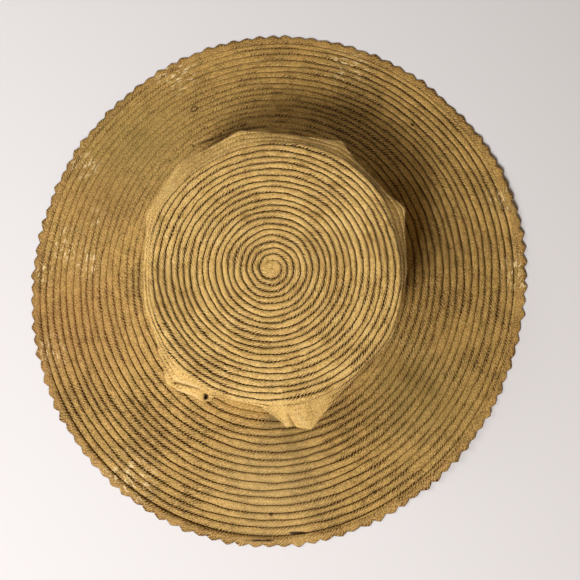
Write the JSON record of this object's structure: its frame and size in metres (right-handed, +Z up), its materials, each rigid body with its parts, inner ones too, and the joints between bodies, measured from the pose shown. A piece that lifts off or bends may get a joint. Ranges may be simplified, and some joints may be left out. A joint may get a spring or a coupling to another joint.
{
  "type": "sun hat",
  "caption": "Wide-brimmed sun hat of spirally sewn straw braid with a shallow, softly buckled crown and a saw-toothed edge, standing on its brim.",
  "frame": {"origin": "centre of the hat's footprint on the surface it stands on, under the brim", "axes": "+Z up through the crown, +X towards the wearer's side, +Y along the hat's longer diameter"},
  "size_m": [0.4104, 0.4274, 0.096],
  "materials": {
    "straw_braid": "matte sewn straw braid, aged to a tan brown",
    "edge_straw": "matte straw braid with pointed edge, worn paler"
  },
  "bodies": {
    "root": {"crown_tip": "straw_braid", "crown_wall": "straw_braid", "brim": "straw_braid", "edge_braid": "edge_straw"}
  },
  "joints": []
}
